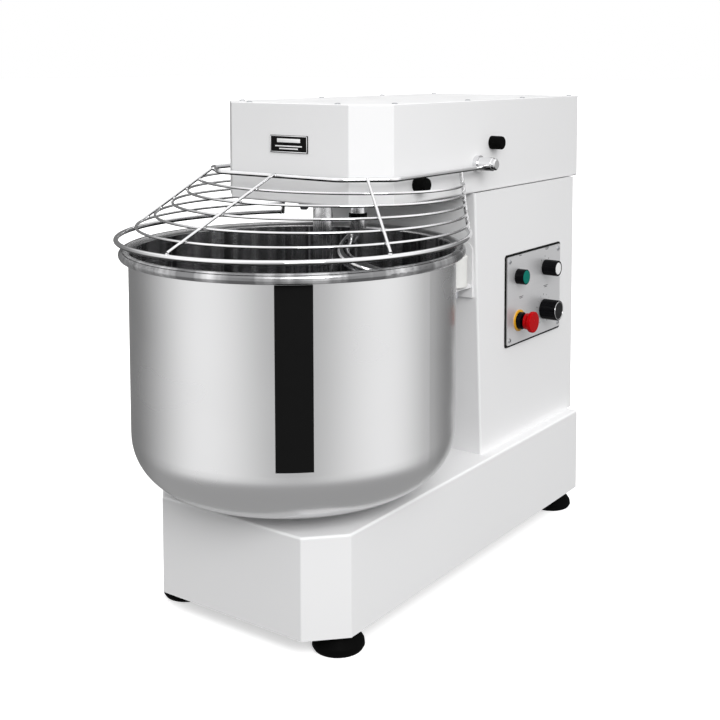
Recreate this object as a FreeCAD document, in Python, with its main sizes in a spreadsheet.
import FreeCAD, Part
import math
import os

import Sketcher
from FreeCAD import Placement, Rotation, Vector

# A fixed-bowl spiral dough mixer.  Millimetres, +Z up, front towards -Y.  The origin is on the
# floor, under the middle of the machine's outer box.

DRIVING_SIZES = {
    "Rubber feet": {
        "foot_radius": 42, "foot_height": 32, "foot_spacing_x": 328, "foot_front_y": -300,
        "foot_rear_y": 422, "foot_bolt_radius": 6},
    "Base cabinet": {
        "base_half_width": 203, "base_front": -373, "base_rear": 467, "base_top": 196,
        "base_corner": 55, "sheet_wall": 3, "floor_plate": 5, "bend_radius": 4,
        "opening_half": 150, "base_opening_front": 125, "base_opening_rear": 440,
        "housing_hole": 46},
    "Column": {
        "column_half_width": 181, "column_front_low": 110, "column_front_high": 83,
        "column_rear": 465, "rear_cover_depth": 16, "gland_x": -120, "gland_hole": 10},
    "Head": {
        "head_half_width": 178, "head_front": -219.5, "head_rear": 504, "head_bottom": 683,
        "head_top": 849, "head_corner": 52, "cover_sheet": 2.5,
        "head_opening_rear": 450, "under_bolt_y": -178, "under_bolt_head": 9.5,
        "under_bolt_drop": 15},
    "Bowl": {
        "bowl_y": -205.5, "bowl_radius": 272.5, "bowl_bottom": 216, "bowl_wall": 2,
        "bowl_corner": 92, "rim_height": 613, "rim_bead": 8.5, "rim_radius": 288.5},
    "Dark band on the bowl": {
        "band_low": 315, "band_high": 594, "band_start": 33.6, "band_end": 45.5,
        "band_thickness": 0.6},
    "Tools in the bowl": {
        "bar_y": -127, "bar_radius": 17, "bar_low": 232, "spiral_y": -25, "spiral_reach": 80,
        "spiral_rod": 11.5, "spiral_low": 236, "hub_radius": 15, "hub_height": 66},
    "Guard": {
        "pivot_y": 93, "pivot_z": 736, "boss_radius": 12, "boss_outer": 213,
        "frame_wire": 4, "frame_z": 731, "frame_arm_x": 198, "frame_front": -250,
        "frame_front_half": 128, "frame_corner_y": -193, "frame_side_x": 163,
        "frame_side_y": -221.5, "ring_z": 630, "ring_wire": 4,
        "ring_front": -498.5, "ring_side_x": 270, "ring_side_y": -308, "ring_end_x": 210,
        "ring_end_y": 14, "bar_top_y": 7, "hoop_wire": 2.25, "rib_wire": 2.5,
        "hoop_step": 0.162, "rear_bar": 3.5},
    "Guard stops": {
        "stop_radius": 12.2, "stop_length": 24, "low_stop_y": -103, "low_stop_z": 714.5,
        "high_stop_y": 146, "high_stop_z": 771},
    "Bowl guide roller": {
        "roller_radius": 26, "roller_low": 517, "roller_high": 573, "roller_place": 31.2,
        "roller_pin": 6, "bracket_half": 18, "bracket_low": 492, "bracket_high": 593},
    "Control panel": {
        "panel_y": 305.5, "panel_z": 466.5, "panel_width": 225, "panel_height": 177,
        "gasket_depth": 2, "gasket_border": 4, "plate_depth": 2, "control_hole": 11.15},
    "Drive": {
        "drive_shaft_y": 170, "drive_shaft_radius": 15, "motor_y": 355, "motor_radius": 95,
        "idler_y": 40, "belt_depth": 4, "belt_width": 12,
        "motor_pulley_radius": 36, "top_pulley_radius": 130, "top_belt_z": 800,
        "spiral_drive_radius": 55, "spiral_pulley_radius": 110, "spiral_belt_z": 738,
        "spindle_radius": 25, "spiral_shaft_radius": 20, "motor_shaft_radius": 12,
        "idler_shaft_radius": 12, "low_drive_radius": 30, "idler_large_radius": 90,
        "idler_belt_z": 128,
        "idler_small_radius": 32, "bowl_pulley_radius": 160, "bowl_belt_z": 84},
    "Clearances": {
        "gap": 0.3, "shaft_fit": 0.05},
}


class Size(float):
    """A number that carries the spreadsheet formula it was worked out from."""

    def __new__(cls, value, formula=None):
        size = super().__new__(cls, value)
        size.formula = formula or f"{float(value):.9g}"
        return size

    def __add__(self, other):
        return joined(self, "+", other, float(self) + float(other))

    def __radd__(self, other):
        return joined(other, "+", self, float(other) + float(self))

    def __sub__(self, other):
        return joined(self, "-", other, float(self) - float(other))

    def __rsub__(self, other):
        return joined(other, "-", self, float(other) - float(self))

    def __mul__(self, other):
        return joined(self, "*", other, float(self) * float(other))

    def __rmul__(self, other):
        return joined(other, "*", self, float(other) * float(self))

    def __truediv__(self, other):
        return joined(self, "/", other, float(self) / float(other))

    def __neg__(self):
        return joined(0, "-", self, -float(self))


def formula(number):
    return number.formula if isinstance(number, Size) else f"({float(number):.9g})"


def joined(left, sign, right, value):
    return Size(value, f"({formula(left)} {sign} {formula(right)})")


doc = FreeCAD.newDocument("SpiralMixer")
sheet = doc.addObject("Spreadsheet::Sheet", "Sizes")


class Sizes:
    """The driving sizes as attributes, each one bound to its cell of the spreadsheet."""

    def __init__(self, sections):
        row = 1
        for section, cells in sections.items():
            sheet.set(f"A{row}", section)
            row += 1
            for alias, value in cells.items():
                sheet.set(f"A{row}", alias)
                sheet.set(f"B{row}", str(value))
                sheet.setAlias(f"B{row}", alias)
                setattr(self, alias, Size(value, f"Sizes.{alias}"))
                row += 1


size = Sizes(DRIVING_SIZES)
doc.recompute()

sub_parts = []
UPRIGHT = Rotation()
ALONG_X = Rotation(Vector(0, 1, 0), 90)
ALONG_MINUS_X = Rotation(Vector(0, 1, 0), -90)
ALONG_Y = Rotation(Vector(1, 0, 0), -90)
DOWNWARD = Rotation(Vector(1, 0, 0), 180)
SIDES = ((1, ALONG_X), (-1, ALONG_MINUS_X))
SCREW_HOLE = Size(2.05)


# ---------------------------------------------------------------- small building blocks

def bind(thing, prop, number):
    """Ties one property to the spreadsheet."""
    thing.setExpression(prop, formula(number))


def placed(thing, at=(0, 0, 0), turn=UPRIGHT):
    thing.Placement = Placement(Vector(*[float(value) for value in at]), turn)
    for axis, value in zip("xyz", at):
        if isinstance(value, Size):
            bind(thing, f"Placement.Base.{axis}", value)
    return thing


def keep(thing, label):
    """Makes a finished object one of the machine's sub-parts."""
    thing.Label = label
    sub_parts.append(thing)
    return thing


def box(low, high, name="Block"):
    block = doc.addObject("Part::Box", name)
    for prop, start, end in zip(("Length", "Width", "Height"), low, high):
        bind(block, prop, end - start if isinstance(end, Size) else Size(end) - start)
    return placed(block, low)


def rod(radius, length, at, turn=UPRIGHT, name="Rod"):
    cylinder = doc.addObject("Part::Cylinder", name)
    bind(cylinder, "Radius", radius)
    bind(cylinder, "Height", length)
    return placed(cylinder, at, turn)


def fused(pieces, name="Joined"):
    union = doc.addObject("Part::MultiFuse", name)
    union.Shapes = pieces
    return union


def cut(base, tool, name="Cut"):
    result = doc.addObject("Part::Cut", name)
    result.Base = base
    result.Tool = tool
    return result


def group(label, pieces):
    """Several separate solids that share one sub-part, such as a set of screws."""
    compound = doc.addObject("Part::Compound", "Group")
    compound.Links = pieces
    return keep(compound, label)


def new_body(name):
    return doc.addObject("PartDesign::Body", name)


def new_sketch(body, plane, offset=0):
    """A sketch on one of the body's own origin planes, moved along that plane's normal."""
    sketch = body.newObject("Sketcher::SketchObject", "Outline")
    origin_plane = next(each for each in body.Origin.OriginFeatures if each.Role == plane)
    sketch.AttachmentSupport = [(origin_plane, "")]
    sketch.MapMode = "FlatFace"
    sketch.AttachmentOffset = Placement(Vector(0, 0, float(offset)), Rotation())
    if isinstance(offset, Size):
        bind(sketch, "AttachmentOffset.Base.z", offset)
    return sketch


def hold(sketch, geometry, point, x, y):
    """Fixes one sketch point by its distances from the sketch's origin."""
    for kind, axis, distance in (("DistanceX", -2, x), ("DistanceY", -1, y)):
        if float(distance) == 0:
            sketch.addConstraint(Sketcher.Constraint("PointOnObject", geometry, point, axis))
            continue
        index = sketch.addConstraint(
            Sketcher.Constraint(kind, -1, 1, geometry, point, float(distance)))
        if isinstance(distance, Size):
            bind(sketch, f"Constraints[{index}]", distance)


def draw_outline(sketch, corners):
    """Closes straight lines through the corners."""
    first = sketch.GeometryCount
    points = [Vector(float(x), float(y), 0) for x, y in corners]
    for here, there in zip(points, points[1:] + points[:1]):
        sketch.addGeometry(Part.LineSegment(here, there), False)
    count = len(points)
    for index in range(count):
        following = first + (index + 1) % count
        sketch.addConstraint(Sketcher.Constraint("Coincident", first + index, 2, following, 1))
    for index, (x, y) in enumerate(corners):
        hold(sketch, first + index, 1, x, y)


def draw_circle(sketch, centre, radius):
    circle = Part.Circle(Vector(float(centre[0]), float(centre[1]), 0), Vector(0, 0, 1),
                         float(radius))
    geometry = sketch.addGeometry(circle, False)
    index = sketch.addConstraint(Sketcher.Constraint("Radius", geometry, float(radius)))
    bind(sketch, f"Constraints[{index}]", radius)
    hold(sketch, geometry, 3, *centre)


def plane_offset(plane, start, end):
    """Where a sketch lies so that its feature fills start..end along the plane's axis."""
    return -end if plane == "XZ_Plane" else start


def padded(body, plane, corners, start, end):
    sketch = new_sketch(body, plane, plane_offset(plane, start, end))
    draw_outline(sketch, corners)
    pad = body.newObject("PartDesign::Pad", "Pad")
    pad.Profile = sketch
    bind(pad, "Length", end - start)
    sketch.Visibility = False
    return pad


def pocketed(body, plane, start, end, corners=None, circles=()):
    """Removes what a pad of the same outline would fill, and makes sure that it did."""
    doc.recompute()
    before = body.Shape.Volume
    sketch = new_sketch(body, plane, plane_offset(plane, start, end))
    if corners:
        draw_outline(sketch, corners)
    for centre, radius in circles:
        draw_circle(sketch, centre, radius)
    pocket = body.newObject("PartDesign::Pocket", "Pocket")
    pocket.Profile = sketch
    pocket.Reversed = True
    bind(pocket, "Length", end - start)
    doc.recompute()
    if body.Shape.Volume >= before - 1e-6:
        raise RuntimeError(f"a pocket in {body.Name} removed nothing")
    return pocket


def turned(outline, at=(0, 0, 0), turn=UPRIGHT, name="Turned"):
    """A body of revolution about its own Z; the outline is (radius, height) corners."""
    body = new_body(name)
    sketch = new_sketch(body, "XZ_Plane")
    draw_outline(sketch, outline)
    revolution = body.newObject("PartDesign::Revolution", "Revolution")
    revolution.Profile = sketch
    revolution.ReferenceAxis = (sketch, ["V_Axis"])
    revolution.Angle = 360
    return placed(body, at, turn)


def rounded(body, radius, wanted):
    """Fillets every edge of the body's tip that the test picks."""
    doc.recompute()
    tip = body.Tip
    edges = [f"Edge{number}" for number, edge in enumerate(tip.Shape.Edges, 1) if wanted(edge)]
    if not edges:
        raise RuntimeError(f"no edge to round in {body.Name}")
    fillet = body.newObject("PartDesign::Fillet", "Fillet")
    fillet.Base = (tip, edges)
    bind(fillet, "Radius", radius)
    return fillet


def circle_edge(radius, height):
    """Picks round edges of one radius at one height."""
    def wanted(edge):
        return (isinstance(edge.Curve, Part.Circle)
                and abs(edge.Curve.Radius - float(radius)) < 0.01
                and abs(edge.Curve.Center.z - float(height)) < 0.01)
    return wanted


def ring_outline(inner, outer, low, high):
    return [(inner, low), (outer, low), (outer, high), (inner, high)]


def tube(inner, outer, low, high, at=(0, 0, 0), turn=UPRIGHT, name="Tube"):
    return turned(ring_outline(inner, outer, low, high), at, turn, name)


def chamfered_plan(half_width, front, rear, corner):
    """Plan outline of a cabinet whose two front corners are cut off."""
    return [(-half_width, rear), (-half_width, front + corner), (-half_width + corner, front),
            (half_width - corner, front), (half_width, front + corner), (half_width, rear)]


def rectangle(x_low, x_high, y_low, y_high):
    return [(x_low, y_low), (x_high, y_low), (x_high, y_high), (x_low, y_high)]


def swept(wire, radius, name="Wire"):
    """A round rod along a wire of lines and arcs."""
    start = wire.Vertexes[0].Point if len(wire.Edges) == 1 else wire.OrderedVertexes[0].Point
    first = wire.OrderedEdges[0]
    direction = first.tangentAt(first.FirstParameter)
    if (first.valueAt(first.FirstParameter) - start).Length > 1e-6:
        direction = -first.tangentAt(first.LastParameter)
    profile = Part.Wire([Part.makeCircle(float(radius), start, direction)])
    feature = doc.addObject("Part::Feature", name)
    feature.Shape = wire.makePipeShell([profile], True, False, 2)
    return feature


def rod_between(start, end, radius, name="Rod"):
    """A straight round rod between two points."""
    along = end - start
    cylinder = doc.addObject("Part::Cylinder", name)
    bind(cylinder, "Radius", radius)
    cylinder.Height = along.Length
    cylinder.Placement = Placement(start, Rotation(Vector(0, 0, 1), along))
    return cylinder


def bent_path(points, bend):
    """Straight runs through the points, joined by arcs of one bend radius."""
    edges = []
    here = points[0]
    for corner, there in zip(points[1:], points[2:] + [None]):
        if there is None:
            edges.append(Part.makeLine(here, corner))
            break
        back = (here - corner).normalize()
        ahead = (there - corner).normalize()
        half_angle = back.getAngle(ahead) / 2
        reach = bend / math.tan(half_angle)
        middle = (back + ahead).normalize()
        crown = corner + middle * (bend / math.sin(half_angle) - bend)
        edges.append(Part.makeLine(here, corner + back * reach))
        edges.append(Part.Arc(corner + back * reach, crown, corner + ahead * reach).toShape())
        here = corner + ahead * reach
    return Part.Wire(edges)


def screw(at, turn, head_radius, head_height, shank_radius, shank_length):
    """A domed screw whose head starts at the given point and whose shank goes the other way."""
    outline = [(0, -shank_length), (shank_radius, -shank_length), (shank_radius, 0),
               (head_radius, 0), (head_radius, 0.35 * head_height),
               (0.62 * head_radius, head_height), (0, head_height)]
    return turned(outline, at, turn, "Screw")


# ---------------------------------------------------------------- feet and base cabinet

def foot_places():
    for x in (-size.foot_spacing_x / 2, size.foot_spacing_x / 2):
        for y in (size.foot_front_y, size.foot_rear_y):
            yield x, y


def make_feet():
    """Domed rubber discs, each held by a bolt sunk into its underside."""
    recess_radius = 2 * size.foot_bolt_radius
    recess_depth = size.foot_height / 2
    feet = []
    for x, y in foot_places():
        outline = [(recess_radius, 0), (size.foot_radius - 3, 0), (size.foot_radius, 5),
                   (size.foot_radius - 1, 12), (0.66 * size.foot_radius, size.foot_height),
                   (size.foot_bolt_radius, size.foot_height),
                   (size.foot_bolt_radius, recess_depth), (recess_radius, recess_depth)]
        foot = turned(outline, (x, y, 0), name="Foot")
        rounded(foot, Size(3), circle_edge(size.foot_radius - 1, 12))
        feet.append(foot)
    group("rubber_feet", feet)
    bolts = []
    for x, y in foot_places():
        head = size.foot_height / 2
        outline = [(0, head - 7), (0.95 * recess_radius, head - 7), (0.95 * recess_radius, head),
                   (size.foot_bolt_radius, head), (size.foot_bolt_radius, size.foot_height + 22),
                   (0, size.foot_height + 22)]
        bolts.append(turned(outline, (x, y, 0), name="FootBolt"))
    group("foot_bolts", bolts)


def make_base():
    """A folded cabinet, open underneath and closed by a floor plate that carries the feet."""
    low = size.foot_height
    wall = size.sheet_wall
    plan = chamfered_plan(size.base_half_width, size.base_front, size.base_rear,
                          size.base_corner)
    inside = chamfered_plan(size.base_half_width - wall, size.base_front + wall,
                            size.base_rear - wall, size.base_corner - 0.586 * wall)
    shell = new_body("BaseShell")
    padded(shell, "XY_Plane", plan, low, size.base_top)
    rounded(shell, size.bend_radius, lambda edge: edge.BoundBox.ZMin > float(low) + 1
            or edge.BoundBox.ZLength > 100)
    pocketed(shell, "XY_Plane", low, size.base_top - wall, corners=inside)
    pocketed(shell, "XY_Plane", size.base_top - wall, size.base_top,
             corners=rectangle(-size.opening_half, size.opening_half, size.base_opening_front,
                               size.base_opening_rear),
             circles=[((0, size.bowl_y), size.housing_hole)])
    keep(shell, "base_shell")

    margin = wall + 0.5
    floor = new_body("FloorPlate")
    padded(floor, "XY_Plane",
           chamfered_plan(size.base_half_width - margin, size.base_front + margin,
                          size.base_rear - margin, size.base_corner - 0.586 * margin),
           low, low + size.floor_plate)
    pocketed(floor, "XY_Plane", low, low + size.floor_plate,
             circles=[((x, y), size.foot_bolt_radius) for x, y in foot_places()])
    keep(floor, "base_floor_plate")


# ---------------------------------------------------------------- column

def column_front_at(height):
    """How far forward the sloping front of the column is at one height."""
    lean = ((size.column_front_low - size.column_front_high)
            / (size.head_bottom - size.base_top))
    return size.column_front_low - lean * (height - size.base_top)


def make_column():
    """A folded channel with a sloping front, closed behind by a tray and below by the base."""
    half = size.column_half_width
    wall = size.sheet_wall
    bottom, top = size.base_top, size.head_bottom
    front_low, front_high, rear = size.column_front_low, size.column_front_high, size.column_rear
    shell = new_body("ColumnShell")
    padded(shell, "YZ_Plane",
           [(front_low, bottom), (rear, bottom), (rear, top), (front_high, top)], -half, half)
    rounded(shell, size.bend_radius, lambda edge: edge.BoundBox.ZLength > 100
            and edge.BoundBox.YMin < float(front_low) + 1)
    pocketed(shell, "YZ_Plane", -half + wall, half - wall,
             corners=[(front_low + wall, bottom - 1), (rear + 1, bottom - 1), (rear + 1, top + 1),
                      (front_high + wall, top + 1)])
    hole_y, hole_z = size.panel_width / 2 - 14, size.panel_height / 2 - 14
    pocketed(shell, "YZ_Plane", half - wall - 1, half + 1,
             corners=rectangle(size.panel_y - hole_y, size.panel_y + hole_y,
                               size.panel_z - hole_z, size.panel_z + hole_z))
    keep(shell, "column_shell")

    depth = size.rear_cover_depth
    cover = new_body("RearCover")
    padded(cover, "XY_Plane", rectangle(-half, half, rear, rear + depth), bottom + 1, top - 1)
    rounded(cover, size.bend_radius, lambda edge: edge.BoundBox.ZLength > 100
            and edge.BoundBox.YMin > float(rear) + 1)
    pocketed(cover, "XY_Plane", bottom + 1 + wall, top - 1 - wall,
             corners=rectangle(-half + wall, half - wall, rear - 1, rear + depth - wall))
    vent_half, vent_height, vent_pitch = Size(70), 6, 18
    for row in range(4):
        vent_z = top - 70 - vent_pitch * row
        pocketed(cover, "XZ_Plane", rear + depth - wall - 1, rear + depth + 1,
                 corners=rectangle(-vent_half, vent_half, vent_z, vent_z + vent_height))
    gland_z = bottom + 60
    screw_places = [(x, z) for x in (-half + 14, half - 14)
                    for z in (bottom + 24, (bottom + top) / 2, top - 24)]
    pocketed(cover, "XZ_Plane", rear + depth - wall - 1, rear + depth + 1,
             circles=[((size.gland_x, gland_z), size.gland_hole)]
             + [(place, SCREW_HOLE) for place in screw_places])
    keep(cover, "column_rear_cover")
    screws = [screw((x, rear + depth, z), ALONG_Y, 5, 2.6, 2, 4) for x, z in screw_places]
    keep_gland(gland_z)
    return screws


def keep_gland(gland_z):
    """The cable inlet low down on the rear cover."""
    cable_hole, body = 4.2, size.gland_hole - 0.2
    outline = [(cable_hole, -12), (body, -12), (body, 0), (14, 0), (14, 6), (11, 8), (11, 16),
               (8, 20), (cable_hole, 20)]
    outer_face = size.column_rear + size.rear_cover_depth
    keep(turned(outline, (size.gland_x, outer_face, gland_z), ALONG_Y, "CableGland"),
         "cable_gland")


# ---------------------------------------------------------------- head

def make_head():
    """A folded trough over the bowl, closed on top by a screwed cover plate."""
    half, wall, corner = size.head_half_width, size.sheet_wall, size.head_corner
    low, high = size.head_bottom, size.head_top - size.cover_sheet
    front, rear = size.head_front, size.head_rear
    plan = chamfered_plan(half, front, rear, corner)
    inside = chamfered_plan(half - wall, front + wall, rear - wall, corner - 0.586 * wall)
    shell = new_body("HeadShell")
    padded(shell, "XY_Plane", plan, low, high)
    rounded(shell, size.bend_radius, lambda edge: edge.BoundBox.ZMax < float(low) + 1
            or edge.BoundBox.ZLength > 100)
    pocketed(shell, "XY_Plane", low + wall, high + 1, corners=inside)
    bar_hole, bolt_hole = Size(8.1), Size(3.55)
    pocketed(shell, "XY_Plane", low - 1, low + wall,
             corners=rectangle(-size.opening_half, size.opening_half, size.motor_y - 100,
                               size.head_opening_rear),
             circles=[((0, size.spiral_y), size.housing_hole),
                      ((0, size.drive_shaft_y), size.housing_hole), ((0, size.bar_y), bar_hole),
                      ((0, size.under_bolt_y), bolt_hole)])
    pivot_hole = size.boss_radius - 1
    for start, end in ((-half - 1, -half + wall + 1), (half - wall - 1, half + 1)):
        pocketed(shell, "YZ_Plane", start, end,
                 circles=[((size.pivot_y, size.pivot_z), pivot_hole)])
    keep(shell, "head_shell")

    inset = 12
    screw_rows = (front + corner + 20, front + 300, rear - 220, rear - 20)
    screw_places = []
    for side in (-1, 1):
        screw_places.append((side * (half - corner - 31), front + inset))
        screw_places.extend((side * (half - inset), y) for y in screw_rows)
    cover = new_body("TopCover")
    padded(cover, "XY_Plane", plan, high, size.head_top)
    rounded(cover, Size(1.5), lambda edge: edge.BoundBox.ZMin > float(high) + 1)
    pocketed(cover, "XY_Plane", high - 1, size.head_top + 1,
             circles=[(place, SCREW_HOLE) for place in screw_places])
    keep(cover, "head_top_cover")
    screws = [screw((x, y, size.head_top), UPRIGHT, 5, 2, 2, 2) for x, y in screw_places]
    badge = new_body("Badge")
    badge_left, badge_right = Size(-37), Size(43)
    badge_low, badge_high = size.head_bottom + 84, size.head_bottom + 113
    padded(badge, "XZ_Plane", rectangle(badge_left, badge_right, badge_low, badge_high),
           front - 2, front)
    rounded(badge, Size(0.8), lambda edge: edge.BoundBox.YMax < float(front) - 1)
    keep(badge, "badge_plate")
    return screws


# ---------------------------------------------------------------- bowl

def make_bowl():
    """A deep-drawn steel bowl with a rolled rim, on a flanged spindle."""
    outer, wall = size.bowl_radius, size.bowl_wall
    low, corner = size.bowl_bottom, size.bowl_corner
    bead_z = size.rim_height - size.rim_bead
    bead_r = size.rim_radius - size.rim_bead
    bowl = turned([(0, low), (outer, low), (outer, bead_z), (outer - wall, bead_z),
                   (outer - wall, low + wall), (0, low + wall)],
                  (0, size.bowl_y, 0), name="Bowl")
    rounded(bowl, corner, circle_edge(outer, low))
    rounded(bowl, corner - wall, circle_edge(outer - wall, low + wall))
    bead = new_sketch(bowl, "XZ_Plane")
    draw_circle(bead, (bead_r, bead_z), size.rim_bead)
    rim = bowl.newObject("PartDesign::Revolution", "RolledRim")
    rim.Profile = bead
    rim.ReferenceAxis = (bead, ["V_Axis"])
    rim.Angle = 360
    keep(bowl, "bowl_shell")

    band = doc.addObject("Part::Feature", "BowlBand")
    sweep = float(size.band_end - size.band_start)
    height = float(size.band_high - size.band_low)
    blank = Part.makeCylinder(float(outer + size.band_thickness), height, Vector(0, 0, 0),
                              Vector(0, 0, 1), sweep)
    core = Part.makeCylinder(float(outer), height, Vector(0, 0, 0), Vector(0, 0, 1), sweep)
    band.Shape = blank.cut(core)
    start_angle = float(size.band_start) - 90
    band.Placement = Placement(Vector(0, float(size.bowl_y), float(size.band_low)),
                               Rotation(Vector(0, 0, 1), start_angle))
    keep(band, "bowl_band")

    top = low
    flange_low = size.base_top + 10 + size.gap
    shaft = size.spindle_radius
    spindle = turned([(0, 50), (shaft, 50), (shaft, flange_low), (85, flange_low), (85, top),
                      (0, top)], (0, size.bowl_y, 0), name="BowlSpindle")
    keep(spindle, "bowl_spindle")

    housing_inner = shaft + size.shaft_fit
    housing = turned([(housing_inner, 110), (44, 110), (44, size.base_top),
                      (95, size.base_top), (95, size.base_top + 10),
                      (housing_inner, size.base_top + 10)],
                     (0, size.bowl_y, 0), name="BowlBearing")
    keep(housing, "bowl_bearing_housing")


# ---------------------------------------------------------------- breaker bar and spiral

def make_tools():
    """The fixed breaker bar and the turning spiral, both hung from the head."""
    head_low = size.head_bottom
    bar = turned([(0, size.bar_low), (size.bar_radius - 4, size.bar_low),
                  (size.bar_radius, size.bar_low + 4), (size.bar_radius, head_low - 10),
                  (28, head_low - 10), (28, head_low), (8, head_low), (8, head_low + 20),
                  (0, head_low + 20)], (0, size.bar_y, 0), name="BreakerBar")
    rounded(bar, Size(2), circle_edge(28, head_low - 10))
    keep(bar, "breaker_bar")
    fasteners = [tube(8.05, 13, head_low + size.sheet_wall, head_low + 13,
                      (0, size.bar_y, 0), name="Nut")]
    fasteners.append(screw((0, size.under_bolt_y, head_low), DOWNWARD, size.under_bolt_head,
                           size.under_bolt_drop, 3.5, 3))
    group("head_floor_fasteners", fasteners)

    shaft = size.spiral_shaft_radius
    flange = head_low + size.sheet_wall
    housing = turned([(shaft + size.shaft_fit, head_low - 4), (45, head_low - 4), (45, flange),
                      (78, flange), (78, flange + 8), (45, flange + 8), (45, flange + 26),
                      (shaft + size.shaft_fit, flange + 26)],
                     (0, size.spiral_y, 0), name="SpiralBearing")
    keep(housing, "spiral_bearing_housing")

    hub_top = head_low - 4 - size.gap
    hub_low = hub_top - size.hub_height
    collar_low = hub_top - 6
    spiral_shaft = turned([(0, hub_low), (size.hub_radius, hub_low),
                           (size.hub_radius, collar_low), (24, collar_low), (24, hub_top),
                           (shaft, hub_top), (shaft, size.spiral_belt_z + 22),
                           (0, size.spiral_belt_z + 22)],
                          (0, size.spiral_y, 0), name="SpiralShaft")
    rounded(spiral_shaft, Size(2), circle_edge(24, collar_low))
    keep(spiral_shaft, "spiral_shaft")

    rod_radius = float(size.spiral_rod)
    wire = spiral_wire(float(hub_low) + 8, float(size.spiral_low) + rod_radius, rod_radius)
    spiral = swept(wire, rod_radius, "Spiral")
    tip = wire.Vertexes[-1].Point if wire.Vertexes[-1].Z < wire.Vertexes[0].Z \
        else wire.Vertexes[0].Point
    hub = Part.makeCylinder(float(size.hub_radius), float(size.hub_height),
                            Vector(0, 0, float(hub_low)))
    spiral.Shape = spiral.Shape.fuse(Part.makeSphere(rod_radius, tip)).cut(hub)
    spiral.Placement = Placement(Vector(0, float(size.spiral_y), 0), Rotation())
    keep(spiral, "spiral_hook")


def spiral_wire(top_z, low_z, rod_radius):
    """The spiral's middle line: it swings out from the hub, winds down and follows the corner."""
    reach = float(size.spiral_reach) - rod_radius
    axis_distance = float(size.spiral_y - size.bowl_y)
    hub_offset, swing_share, swing_angle = 3, 0.25, 94
    start_angle, winding = 152, 500
    steps = 30
    points = []
    for step in range(steps + 1):
        share = step / steps
        z = top_z + (low_z - top_z) * share
        begun = min(share / swing_share, 1)
        swing = begun ** 2 * (3 - 2 * begun)
        corner_limit = (bowl_radius_at(z - 0.7 * rod_radius) - axis_distance - rod_radius - 6)
        radius = min(hub_offset + (reach - hub_offset) * swing, corner_limit)
        angle = math.radians(start_angle + swing_angle * swing + winding * share)
        points.append(Vector(radius * math.cos(angle), radius * math.sin(angle), z))
    curve = Part.BSplineCurve()
    curve.interpolate(points)
    return Part.Wire([curve.toShape()])


def bowl_radius_at(height):
    """The bowl's inner radius at one height, which shrinks in the rounded corner."""
    inner = float(size.bowl_radius - size.bowl_wall)
    corner = float(size.bowl_corner - size.bowl_wall)
    above = height - float(size.bowl_bottom + size.bowl_wall)
    if above >= corner:
        return inner
    return inner - corner + math.sqrt(corner ** 2 - (corner - above) ** 2)


# ---------------------------------------------------------------- guard

def mirrored(point, flip):
    """The point itself, or with a flip of -1 its twin on the machine's left."""
    return Vector(flip * point.x, point.y, point.z)


def guard_point(share):
    """Front, side and rear points of the guard's surface, from 0 at the ring to 1 at the frame."""
    def between(low, high):
        return float(low) + (float(high) - float(low)) * share

    z = between(size.ring_z, size.frame_z)
    front = Vector(0, between(size.ring_front, size.frame_front), z)
    side = Vector(between(size.ring_side_x, size.frame_side_x),
                  between(size.ring_side_y, size.frame_side_y), z)
    rear = Vector(between(size.ring_end_x, size.frame_arm_x),
                  between(size.ring_end_y, size.bar_top_y), z)
    return front, side, rear


def lift_over(start, end, distance):
    """How far a sloping rod is raised so that its axis passes a level wire at a distance."""
    along = end - start
    return distance * along.Length / math.hypot(along.x, along.y)


def hoop_wire(share, end_gap):
    """A hoop: an arc round the front, and on each side a tangent arc back to the rear bar."""
    front, side, rear = guard_point(share)
    rear = rear - Vector(0, end_gap, 0)
    z = front.z
    centre_y = (side.x ** 2 + side.y ** 2 - front.y ** 2) / (2 * (side.y - front.y))
    centre = Vector(0, centre_y, z)
    inward = (centre - side).normalize()
    chord = rear - side
    side_radius = chord.dot(chord) / (2 * chord.dot(inward))
    side_centre = side + inward * side_radius
    middle = ((side + rear) / 2 - side_centre).normalize()
    bulge = side_centre + middle * side_radius
    return Part.Wire([
        Part.Arc(mirrored(rear, -1), mirrored(bulge, -1), mirrored(side, -1)).toShape(),
        Part.Arc(mirrored(side, -1), front, side).toShape(),
        Part.Arc(side, bulge, rear).toShape(),
    ])


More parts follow.
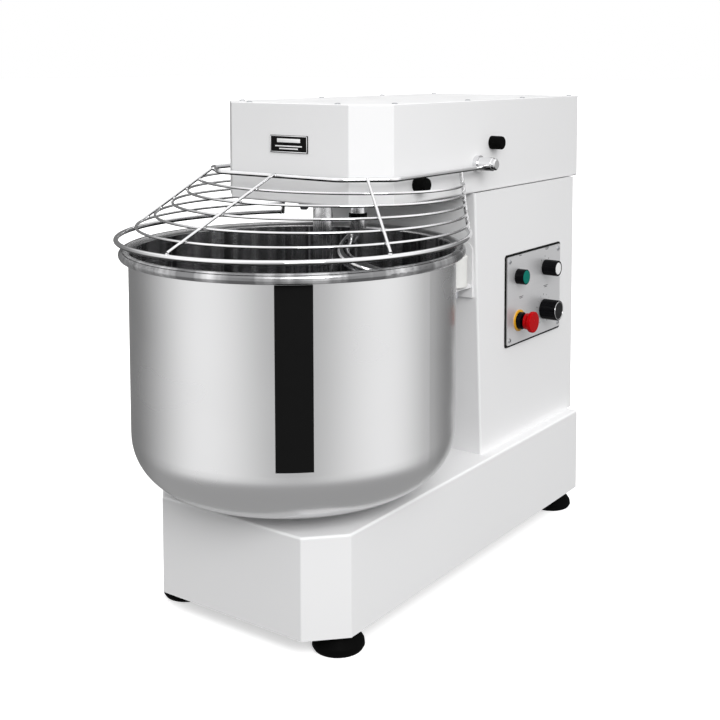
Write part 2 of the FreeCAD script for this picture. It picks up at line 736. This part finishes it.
def make_guard():
    """A hinged wire guard: a top frame, a lower ring, five hoops, ribs and two rear bars."""
    frame_r, ring_r = float(size.frame_wire), float(size.ring_wire)
    hoop_r, rib_r = float(size.hoop_wire), float(size.rib_wire)
    arm, z = float(size.frame_arm_x), float(size.frame_z)
    boss_side = math.sqrt(float(size.boss_radius) ** 2 - (float(size.pivot_z) - z) ** 2)
    arm_end = float(size.pivot_y) - boss_side + 1
    half = float(size.frame_front_half)
    corner_y, front_y = float(size.frame_corner_y), float(size.frame_front)
    outline = [Vector(-arm, arm_end, z), Vector(-arm, corner_y, z), Vector(-half, front_y, z),
               Vector(half, front_y, z), Vector(arm, corner_y, z), Vector(arm, arm_end, z)]
    frame = swept(bent_path(outline, 24), frame_r, "FrameWire")
    boss_length = size.boss_outer - size.head_half_width - 8 - size.gap
    bosses = []
    for side, turn in SIDES:
        start = side * (size.head_half_width + 8 + size.gap)
        boss = tube(8 + size.shaft_fit, size.boss_radius, 0, boss_length,
                    (start, size.pivot_y, size.pivot_z), turn, "Boss")
        rounded(boss, Size(1.5), circle_edge(size.boss_radius, boss_length))
        bosses.append(boss)
    keep(fused([frame] + bosses), "guard_top_frame")

    pins = []
    for side, turn in SIDES:
        pins.append(turned([(0, -size.head_half_width / 5), (7, -size.head_half_width / 5),
                            (7, 8 + size.gap), (8, 8 + size.gap),
                            (8, boss_length + 8 + size.gap),
                            (10.5, boss_length + 8 + size.gap), (10.5, boss_length + 13),
                            (8, boss_length + 15), (0, boss_length + 15)],
                           (side * size.head_half_width, size.pivot_y, size.pivot_z), turn,
                           "Pin"))
    group("guard_pivot_pins", pins)

    bushes = []
    for side, turn in SIDES:
        bushes.append(turned([(7 + size.shaft_fit, -20), (11, -20), (11, 0), (15, 0), (15, 8),
                              (7 + size.shaft_fit, 8)],
                             (side * size.head_half_width, size.pivot_y, size.pivot_z), turn,
                             "Bush"))
    group("guard_pivot_bushes", bushes)

    bar_r = float(size.rear_bar)
    low_points, high_points = guard_point(0), guard_point(1)
    keep(swept(hoop_wire(0, bar_r + 2), ring_r, "RingWire"), "guard_ring")
    hoops = [swept(hoop_wire(step * float(size.hoop_step), bar_r + 1.2), hoop_r, "HoopWire")
             for step in range(1, 6)]
    group("guard_hoops", hoops)

    ribs = []
    weld_gap = 0.15
    touch = hoop_r + rib_r + weld_gap
    trim = math.sqrt(ring_r ** 2 - (hoop_r + weld_gap) ** 2) + weld_gap
    for index, flips in ((0, (1,)), (1, (-1, 1))):
        low, high = low_points[index], high_points[index]
        lift = Vector(0, 0, lift_over(low, high, touch))
        along = (high - low).normalize()
        shift = lift.dot(along)
        start = low + lift + along * (trim - shift)
        end = high + lift - along * (trim + shift)
        for flip in flips:
            ribs.append(rod_between(mirrored(start, flip), mirrored(end, flip), size.rib_wire))
    low, high = low_points[2], high_points[2]
    for flip in (-1, 1):
        ribs.append(rod_between(mirrored(low - Vector(0, 0, ring_r), flip),
                                mirrored(high - Vector(0, 0, frame_r + 2 * weld_gap), flip),
                                size.rear_bar))
    group("guard_ribs", ribs)


def make_guard_stops():
    """Rubber buffers on both sides of the head: one pair for the closed guard, one for the open."""
    radius, length = size.stop_radius, size.stop_length
    stops = []
    for y, z in ((size.low_stop_y, size.low_stop_z), (size.high_stop_y, size.high_stop_z)):
        for side, turn in SIDES:
            stop = turned([(0, 0), (radius, 0), (radius, length), (0, length)],
                          (side * size.head_half_width, y, z), turn, "Stop")
            rounded(stop, Size(3.5), circle_edge(radius, length))
            stops.append(stop)
    group("guard_stops", stops)


# ---------------------------------------------------------------- bowl guide roller

def make_guide_roller():
    """A nylon roller on a bracket, which steadies the bowl's wall beside the column."""
    low, high, pin = size.roller_low, size.roller_high, size.roller_pin
    angle = math.radians(float(size.roller_place))
    reach = size.bowl_radius + size.band_thickness + size.gap + size.roller_radius
    x, y = reach * math.sin(angle), size.bowl_y + reach * math.cos(angle)
    roller = tube(pin + size.shaft_fit, size.roller_radius, low, high, (x, y, 0), name="Roller")
    rounded(roller, Size(2), lambda edge: circle_edge(size.roller_radius, low)(edge)
            or circle_edge(size.roller_radius, high)(edge))
    keep(roller, "guide_roller")

    half = size.bracket_half
    shelf_top = low - size.gap
    shelf_low = shelf_top - 6
    wall_y = column_front_at(low)
    arm = box((x - half + 2, y - 10, shelf_low), (x + half - 2, wall_y + 2, shelf_top))
    nose = rod(half - 2, shelf_top - shelf_low, (x, y - 4, shelf_low))
    hole = rod(pin, shelf_top - shelf_low + 2, (x, y, shelf_low - 1))
    shelf = cut(fused([arm, nose]), hole)
    back = new_body("BracketPlate")
    padded(back, "XZ_Plane", rectangle(x - half, x + half, size.bracket_low, size.bracket_high),
           wall_y - 5, wall_y + 5)
    rounded(back, Size(14), lambda edge: edge.BoundBox.YLength > 1
            and edge.BoundBox.ZMin > float(size.bracket_high) - 1)
    keep(cut(fused([shelf, back]), column_wedge()), "guide_roller_bracket")

    nut_low = shelf_low - 14
    keep(turned([(0, nut_low), (10, nut_low), (10, shelf_low), (pin, shelf_low),
                 (pin, high + 1), (10, high + size.gap + 1), (10, high + 6), (0, high + 6)],
                (x, y, 0), name="RollerPin"), "guide_roller_pin")


def column_wedge():
    """The column's outer volume, which pieces on its sloping front are cut to."""
    half = size.column_half_width
    wedge = new_body("ColumnWedge")
    padded(wedge, "YZ_Plane",
           [(size.column_front_low, size.base_top), (size.column_rear, size.base_top),
            (size.column_rear, size.head_bottom), (size.column_front_high, size.head_bottom)],
           -half, half)
    return wedge


# ---------------------------------------------------------------- control panel

def make_panel():
    """A steel plate on a dark gasket, with four controls in standard round holes."""
    x = size.column_half_width
    half_y, half_z = size.panel_width / 2, size.panel_height / 2
    border = size.gasket_border
    face = x + size.gasket_depth + size.plate_depth
    controls = control_places()
    gasket = new_body("PanelGasket")
    padded(gasket, "YZ_Plane", rectangle(size.panel_y - half_y, size.panel_y + half_y,
                                         size.panel_z - half_z, size.panel_z + half_z),
           x, x + size.gasket_depth)
    rounded(gasket, Size(6), lambda edge: edge.BoundBox.XLength > 1)
    pocketed(gasket, "YZ_Plane", x - 1, x + size.gasket_depth + 1,
             circles=[((y, z), size.control_hole) for y, z in controls.values()])
    keep(gasket, "panel_gasket")

    plate = new_body("PanelPlate")
    padded(plate, "YZ_Plane",
           rectangle(size.panel_y - half_y + border, size.panel_y + half_y - border,
                     size.panel_z - half_z + border, size.panel_z + half_z - border),
           x + size.gasket_depth, face)
    rounded(plate, Size(4), lambda edge: edge.BoundBox.XLength > 1)
    screw_places = [(y, z) for y in (size.panel_y - half_y + 13, size.panel_y + half_y - 13)
                    for z in (size.panel_z - half_z + 13, size.panel_z + half_z - 13)]
    pocketed(plate, "YZ_Plane", x, face + 1,
             circles=[((y, z), size.control_hole) for y, z in controls.values()]
             + [(place, Size(1.65)) for place in screw_places])
    keep(plate, "panel_plate")
    screws = [screw((face, y, z), ALONG_X, 4.5, 2.2, 1.6, 1.9) for y, z in screw_places]
    group("panel_screws", screws)

    blocks = []
    for y, z in controls.values():
        blocks.append(tube(size.control_hole + 0.1, 15, -9, 0, (x - size.sheet_wall, y, z),
                           ALONG_X, "LockRing"))
        blocks.append(box((x - 60, y - 14, z - 20), (x - 30, y + 14, z + 20), "ContactBlock"))
    group("control_contact_blocks", blocks)
    return face


def control_places():
    """Where each control sits on the panel: (y, z)."""
    return {
        "start": (size.panel_y - 66.5, size.panel_z + 43.5),
        "stop": (size.panel_y - 62.5, size.panel_z - 42.5),
        "selector": (size.panel_y + 43, size.panel_z + 45.5),
        "timer": (size.panel_y + 38.5, size.panel_z - 37.5),
    }


def make_controls(face):
    """Start button, emergency stop, selector and timer, each turned about the X axis."""
    places = control_places()
    hole = size.control_hole - 0.1
    travel = Size(4)

    def at(name):
        return (face, *places[name])

    keep(turned([(8.6, -28), (hole, -28), (hole, 0), (14.6, 0), (14.6, 17.2), (13.9, 18),
                 (13.2, 18), (13.2, 6), (8.6, 6)], at("start"), ALONG_X, "StartBezel"),
         "start_button_bezel")
    cap_low = 6 + travel + size.gap
    cap = turned([(0, -24), (8.5, -24), (8.5, cap_low), (12.9, cap_low), (12.9, 18.6),
                  (0, 18.6)], at("start"), ALONG_X, "StartCap")
    rounded(cap, Size(1.2), circle_edge(12.9, 18.6))
    keep(cap, "start_button_cap")

    keep(tube(hole + 0.1, 20.5, 0, 2, at("stop"), ALONG_X, "StopRing"), "estop_yellow_ring")
    keep(turned([(7.1, -28), (hole, -28), (hole, 2), (16.5, 2), (16.5, 9), (15, 10.5),
                 (7.1, 10.5)], at("stop"), ALONG_X, "StopCollar"), "estop_collar")
    stem_top = 18
    keep(turned([(0, -26), (7, -26), (7, stem_top), (0, stem_top)], at("stop"), ALONG_X,
                "StopStem"), "estop_stem")
    mushroom = turned([(7.05, 16.3), (15.5, 16.3), (16, 22), (20.2, 27), (20.2, 33.4),
                       (0, 34), (0, stem_top + size.gap), (7.05, stem_top + size.gap)],
                      at("stop"), ALONG_X, "StopMushroom")
    rounded(mushroom, Size(2), circle_edge(20.2, 33.4))
    rounded(mushroom, Size(1), circle_edge(20.2, 27))
    keep(mushroom, "estop_mushroom")

    sleeves = [make_knob("selector", at("selector"), hole, radius=15.5, height=30, border=3.4,
                         flutes=10),
               make_knob("timer", at("timer"), hole, radius=20, height=34, border=2.2,
                         flutes=24)]
    group("knob_sleeves", sleeves)


def make_knob(name, at, hole, radius, height, border, flutes):
    """A fluted knob with a cap disc in its face, on its own spindle sleeve in the panel."""
    sleeve = turned([(3.1, -28), (hole, -28), (hole, 0), (radius - 2, 0), (radius - 2, 1.5),
                     (3.1, 1.5)], at, ALONG_X, "Sleeve")
    rim, seat = radius - border, height - 1.2
    knob = turned([(0, -26), (3.05, -26), (3.05, 1.8), (radius, 1.8), (radius, height),
                   (rim, height), (rim, seat), (0, seat)], at, ALONG_X, "Knob")
    rounded(knob, Size(1.3), circle_edge(radius, height))
    doc.recompute()
    flute_depth, flute_start = 0.9, 5
    flute_radius = Size(2 if flutes < 20 else 1.5)
    sketch = new_sketch(knob, "XY_Plane", flute_start)
    draw_circle(sketch, (radius + float(flute_radius) - flute_depth, 0), flute_radius)
    flute = knob.newObject("PartDesign::Pocket", "Flute")
    flute.Profile = sketch
    flute.Reversed = True
    flute.Length = height - flute_start
    pattern = knob.newObject("PartDesign::PolarPattern", "Flutes")
    pattern.Originals = [flute]
    pattern.Axis = (sketch, ["N_Axis"])
    pattern.Angle = 360
    pattern.Occurrences = flutes
    knob.Tip = pattern
    keep(knob, f"{name}_knob")
    keep(turned([(0, seat), (rim, seat), (rim - 0.4, height - 0.2), (0, height)], at, ALONG_X,
                "KnobCap"), f"{name}_knob_cap")
    return sleeve


# ---------------------------------------------------------------- drive

def pulley(radius, belt_z, at, bore, name="Pulley"):
    """A flat-grooved pulley: two rims, a groove for the belt and a lighter web."""
    half = size.belt_width / 2 + 0.5
    flange = half + 4
    groove = radius - size.belt_depth
    if float(radius) < 60:
        outline = [(bore, belt_z - flange), (radius, belt_z - flange), (radius, belt_z - half),
                   (groove, belt_z - half), (groove, belt_z + half), (radius, belt_z + half),
                   (radius, belt_z + flange), (bore, belt_z + flange)]
    else:
        rim = radius - size.belt_depth - 8
        hub = bore + 14
        outline = [(bore, belt_z - flange), (hub, belt_z - flange), (hub, belt_z - 4),
                   (rim, belt_z - 4), (rim, belt_z - flange), (radius, belt_z - flange),
                   (radius, belt_z - half), (groove, belt_z - half), (groove, belt_z + half),
                   (radius, belt_z + half), (radius, belt_z + flange), (rim, belt_z + flange),
                   (rim, belt_z + 4), (hub, belt_z + 4), (hub, belt_z + flange),
                   (bore, belt_z + flange)]
    return turned(outline, at, name=name)


def belt(first_y, first_radius, second_y, second_radius, belt_z):
    """A closed belt round two pulleys, just clear of their grooves."""
    def loop(extra):
        big, small = float(first_radius) + extra, float(second_radius) + extra
        y_big, y_small = float(first_y), float(second_y)
        span = y_small - y_big
        lean = math.asin((big - small) / abs(span))
        toward = 1 if span > 0 else -1

        def point(centre_y, radius, side):
            return Vector(side * radius * math.cos(lean),
                          centre_y + toward * radius * math.sin(lean), 0)

        big_far = Vector(0, y_big - toward * big, 0)
        small_far = Vector(0, y_small + toward * small, 0)
        edges = [Part.Arc(point(y_big, big, -1), big_far, point(y_big, big, 1)).toShape(),
                 Part.makeLine(point(y_big, big, 1), point(y_small, small, 1)),
                 Part.Arc(point(y_small, small, 1), small_far,
                          point(y_small, small, -1)).toShape(),
                 Part.makeLine(point(y_small, small, -1), point(y_big, big, -1))]
        return Part.Face(Part.Wire(edges))

    inner = float(size.gap - size.belt_depth)
    outer = inner + float(size.belt_depth) - 1
    ring = loop(outer).cut(loop(inner))
    feature = doc.addObject("Part::Feature", "Belt")
    feature.Shape = ring.extrude(Vector(0, 0, float(size.belt_width)))
    feature.Placement = Placement(Vector(0, 0, float(belt_z - size.belt_width / 2)), Rotation())
    return feature


def make_drive_shaft():
    """The upright shaft in the column, with its three pulleys and its bearings."""
    radius, fit = size.drive_shaft_radius, size.shaft_fit
    at = (0, size.drive_shaft_y, 0)
    top = size.top_belt_z + 16
    keep(turned([(0, 60), (radius, 60), (radius, top), (0, top)], at, name="DriveShaft"),
         "drive_shaft")
    group("drive_shaft_pulleys",
          [pulley(size.top_pulley_radius, size.top_belt_z, at, radius),
           pulley(size.spiral_drive_radius, size.spiral_belt_z, at, radius),
           pulley(size.low_drive_radius, size.idler_belt_z, at, radius)])
    floor = size.foot_height + size.floor_plate
    head_floor = size.head_bottom + size.sheet_wall
    lower = turned([(0, floor), (45, floor), (45, floor + 8), (30, floor + 8), (30, 104),
                    (radius + fit, 104), (radius + fit, 59), (0, 59)], at, name="LowerBearing")
    upper = turned([(radius + fit, head_floor - 9), (45, head_floor - 9), (45, head_floor),
                    (60, head_floor), (60, head_floor + 7), (30, head_floor + 7),
                    (30, head_floor + 26), (radius + fit, head_floor + 26)],
                   at, name="UpperBearing")
    return [lower, upper]


def make_idler():
    """The short shaft in the base that slows the bowl, with its two pulleys and its bearing."""
    radius, fit = size.idler_shaft_radius, size.shaft_fit
    at = (0, size.idler_y, 0)
    top = size.idler_belt_z + 16
    keep(turned([(0, 62), (radius, 62), (radius, top), (0, top)], at, name="IdlerShaft"),
         "idler_shaft")
    group("idler_pulleys", [pulley(size.idler_large_radius, size.idler_belt_z, at, radius),
                            pulley(size.idler_small_radius, size.bowl_belt_z, at, radius)])
    floor = size.foot_height + size.floor_plate
    return [turned([(0, floor), (40, floor), (40, floor + 8), (25, floor + 8), (25, 70),
                    (radius + fit, 70), (radius + fit, 61), (0, 61)], at, name="IdlerBearing")]


def make_motor():
    """An upright motor hung in the column from a plate under the head's floor."""
    at = (0, size.motor_y, 0)
    shaft = size.motor_shaft_radius
    low, high = size.head_bottom - 303, size.head_bottom - 12
    socket = high - 60
    keep(turned([(0, low), (70, low), (size.motor_radius, low + 20), (size.motor_radius, high),
                 (shaft + size.shaft_fit, high), (shaft + size.shaft_fit, socket), (0, socket)],
                at, name="Motor"), "motor_housing")
    plate = new_body("MotorPlate")
    plate_half_x, plate_half_y = size.column_half_width - 9, size.motor_radius + 2
    padded(plate, "XY_Plane", rectangle(-plate_half_x, plate_half_x, size.motor_y - plate_half_y,
                                        size.motor_y + plate_half_y), high, high + 8)
    pocketed(plate, "XY_Plane", high - 1, high + 9, circles=[((0, size.motor_y), shaft + 8)])
    keep(plate, "motor_mounting_plate")
    shaft_top = size.top_belt_z + 14
    keep(turned([(0, socket + 2), (shaft, socket + 2), (shaft, shaft_top), (0, shaft_top)],
                at, name="MotorShaft"), "motor_shaft")
    keep(pulley(size.motor_pulley_radius, size.top_belt_z, at, shaft), "motor_pulley")


def make_drive():
    """One motor drives the spiral through a shaft in the column, and the bowl through an idler."""
    group("shaft_bearings", make_drive_shaft() + make_idler())
    make_motor()
    keep(pulley(size.spiral_pulley_radius, size.spiral_belt_z, (0, size.spiral_y, 0),
                size.spiral_shaft_radius), "spiral_pulley")
    keep(pulley(size.bowl_pulley_radius, size.bowl_belt_z, (0, size.bowl_y, 0),
                size.spindle_radius), "bowl_pulley")
    group("head_belts",
          [belt(size.drive_shaft_y, size.top_pulley_radius, size.motor_y,
                size.motor_pulley_radius, size.top_belt_z),
           belt(size.spiral_y, size.spiral_pulley_radius, size.drive_shaft_y,
                size.spiral_drive_radius, size.spiral_belt_z)])
    group("base_belts",
          [belt(size.idler_y, size.idler_large_radius, size.drive_shaft_y,
                size.low_drive_radius, size.idler_belt_z),
           belt(size.bowl_y, size.bowl_pulley_radius, size.idler_y,
                size.idler_small_radius, size.bowl_belt_z)])
    box_left, box_low = 11 - size.column_half_width, size.base_top + 34
    keep(box((box_left, size.panel_y - 60, box_low),
             (box_left + 60, size.panel_y + 60, box_low + 120), "ControlBox"), "control_box")


make_feet()
make_base()
group("cover_screws", make_column() + make_head())
make_bowl()
make_tools()
make_guard()
make_guard_stops()
make_guide_roller()
panel_face = make_panel()
make_controls(panel_face)
make_drive()
doc.recompute()

for thing in doc.Objects:
    if {"Invalid", "Error"} & set(thing.State):
        raise RuntimeError(f"{thing.Name} ({thing.Label}) failed: {thing.State}")
labels = [part.Label for part in sub_parts]
if len(set(labels)) != len(labels):
    raise RuntimeError("two sub-parts share a label")

os.makedirs("parts", exist_ok=True)
for part in sub_parts:
    shape = part.Shape
    if shape.isNull() or not shape.isValid() or not shape.Solids:
        raise RuntimeError(f"{part.Label} has no valid solid")
    shape.exportStep(f"parts/{part.Label}.step")
    bounds = shape.BoundBox
    print(f"{part.Label:28s} {len(shape.Solids):2d} solids  x {bounds.XMin:8.1f} {bounds.XMax:8.1f}"
          f"  y {bounds.YMin:8.1f} {bounds.YMax:8.1f}  z {bounds.ZMin:8.1f} {bounds.ZMax:8.1f}")
print(len(sub_parts), "sub-parts")
